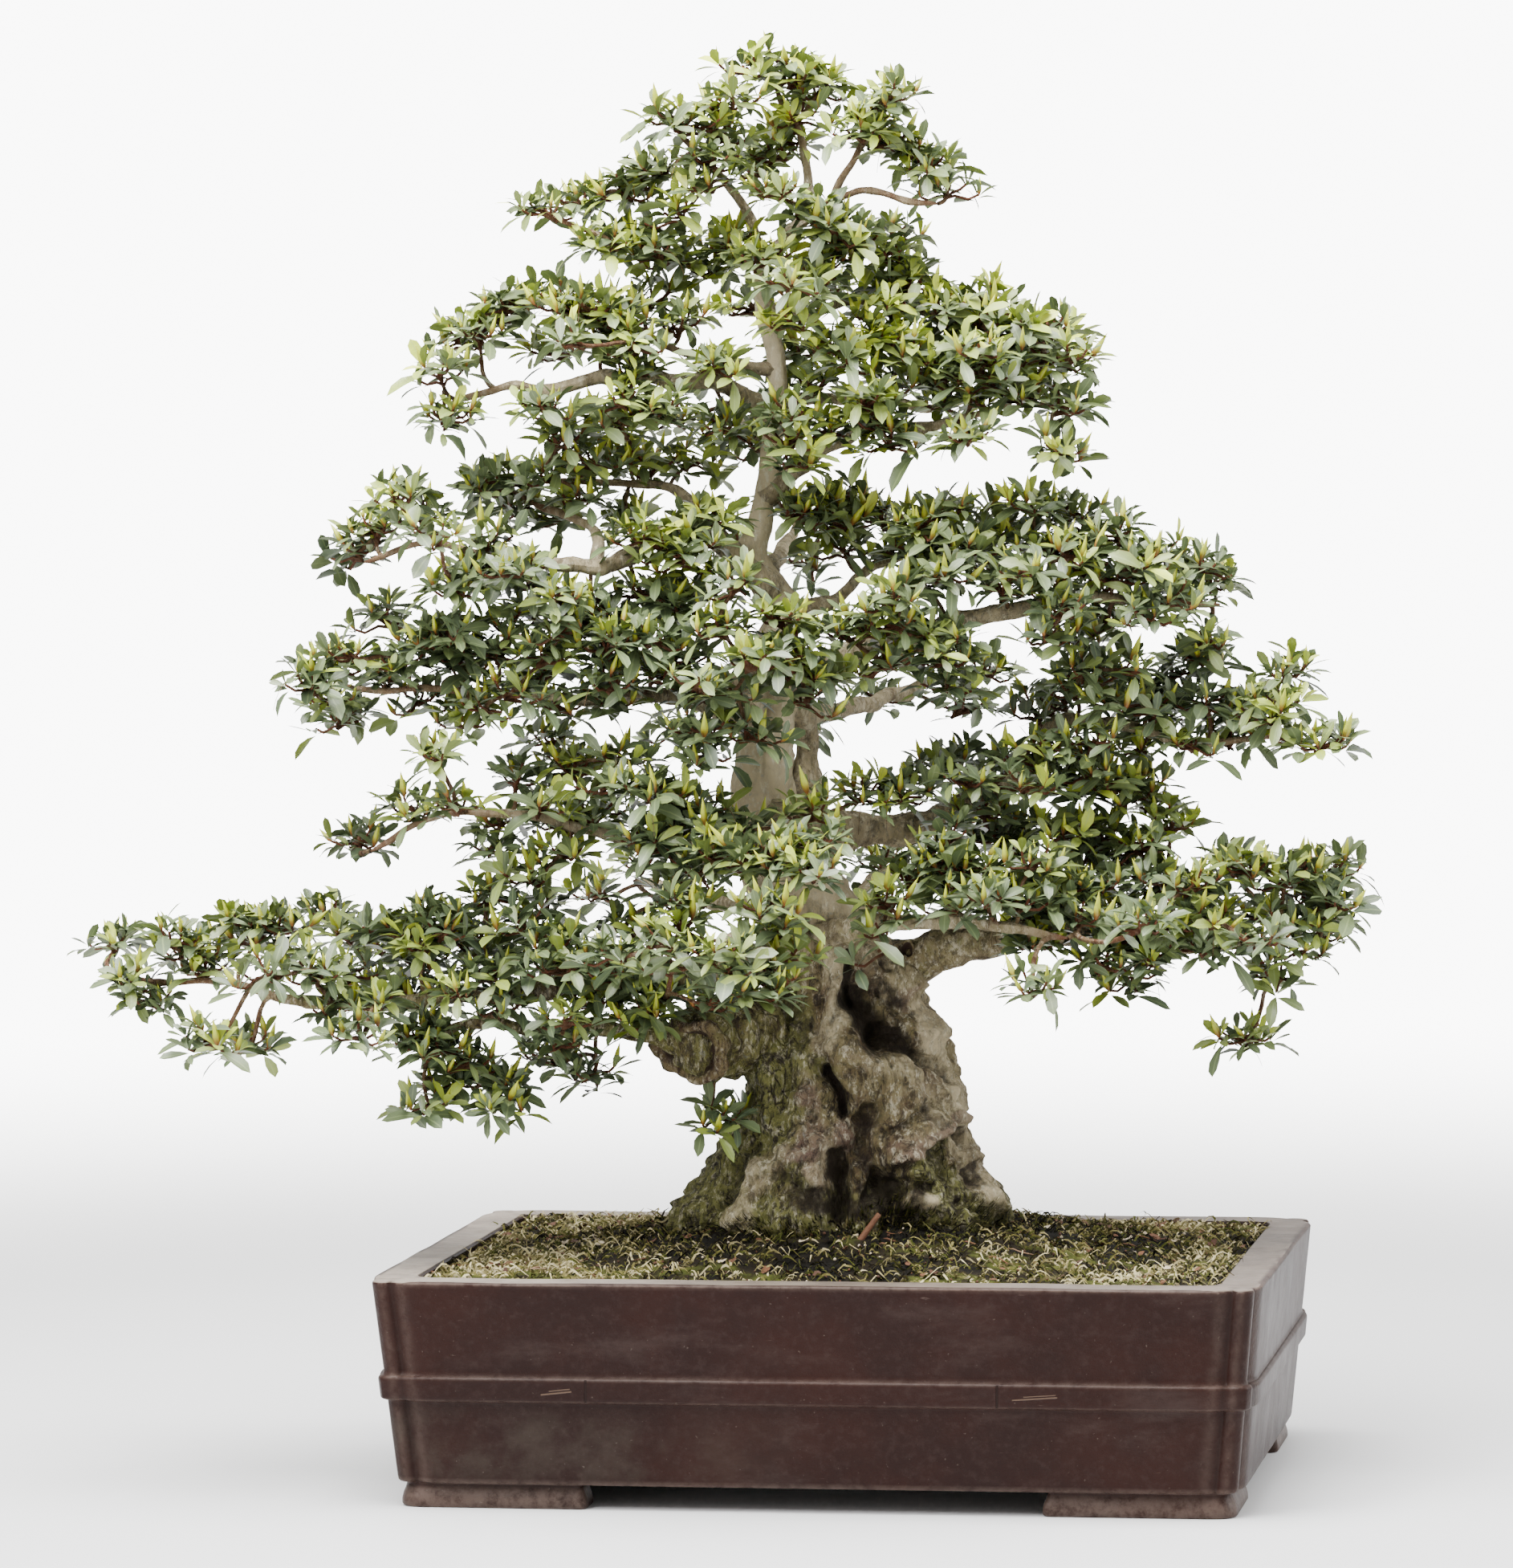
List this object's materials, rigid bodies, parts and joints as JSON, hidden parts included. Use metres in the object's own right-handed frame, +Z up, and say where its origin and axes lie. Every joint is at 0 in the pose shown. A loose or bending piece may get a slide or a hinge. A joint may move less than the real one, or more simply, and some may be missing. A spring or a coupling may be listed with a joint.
{
  "type": "satsuki azalea bonsai",
  "caption": "Old evergreen azalea bonsai with a flared, hollowed trunk and tiered foliage pads, planted in a moss-covered rectangular footed stoneware pot.",
  "frame": {"origin": "on the ground under the middle of the whole tree's and pot's box", "axes": "+Z up from the feet to the crown; +X along the pot's long side, to the right of the front; +Y to the rear, so the front faces -Y"},
  "size_m": [0.7812, 0.4882, 0.8887],
  "materials": {
    "stoneware": "unglazed, smooth, with a grey bloom and paler worn edges",
    "soil": "crumbly granular soil",
    "moss": "dry straw-coloured moss with green patches",
    "bark": "flaky grey-tan bark with pink-brown scars, algae and hollows",
    "foliage": "leathery, dark blue-green with a soft grey gloss",
    "netting": "moulded black drainage mesh",
    "wire": "soft bonsai wire"
  },
  "bodies": {
    "root": {"trunk": "bark", "spray_apex_left": "foliage", "spray_apex_middle": "foliage", "spray_apex_right": "foliage", "spray_apex_left_tip": "foliage", "spray_crown_left": "foliage", "spray_crown_right": "foliage", "spray_top_right": "foliage", "spray_top_left": "foliage", "spray_high_left_crown": "foliage", "spray_high_left_tip": "foliage", "spray_high_left_low": "foliage", "spray_high_right_core": "foliage", "spray_high_right_tip": "foliage", "spray_high_right_back": "foliage", "spray_upper_left_high": "foliage", "spray_upper_left_tip": "foliage", "spray_upper_left_low": "foliage", "spray_upper_front": "foliage", "spray_upper_right_high": "foliage", "spray_upper_right_crown": "foliage", "spray_upper_right_mid": "foliage", "spray_upper_right_tip": "foliage", "spray_upper_right_low": "foliage", "spray_middle_left_tip": "foliage", "spray_middle_left_mid": "foliage", "spray_middle_left_near": "foliage", "spray_middle_right_tip": "foliage", "spray_middle_right_mid": "foliage", "spray_middle_right_crown": "foliage", "spray_middle_right_near": "foliage", "spray_left_shelf_mid": "foliage", "spray_left_shelf_inner": "foliage", "spray_front_middle": "foliage", "spray_low_front": "foliage", "spray_low_left_tip": "foliage", "spray_low_left_outer": "foliage", "spray_low_left_mid": "foliage", "spray_low_left_inner": "foliage", "spray_low_left_near": "foliage", "spray_low_left_under": "foliage", "spray_low_left_hanging": "foliage", "spray_low_right_crown": "foliage", "spray_low_right_mid": "foliage", "spray_low_right_outer": "foliage", "spray_low_right_tip": "foliage", "spray_low_back": "foliage", "spray_low_back_left": "foliage", "spray_middle_back": "foliage", "spray_middle_back_right": "foliage", "spray_upper_back": "foliage", "spray_high_back": "foliage", "spray_top_back": "foliage", "pot": "stoneware", "soil": "soil", "moss": "moss", "drain_screen_left": "netting", "screen_clip_left": "wire", "drain_screen_right": "netting", "screen_clip_right": "wire"}
  },
  "joints": []
}
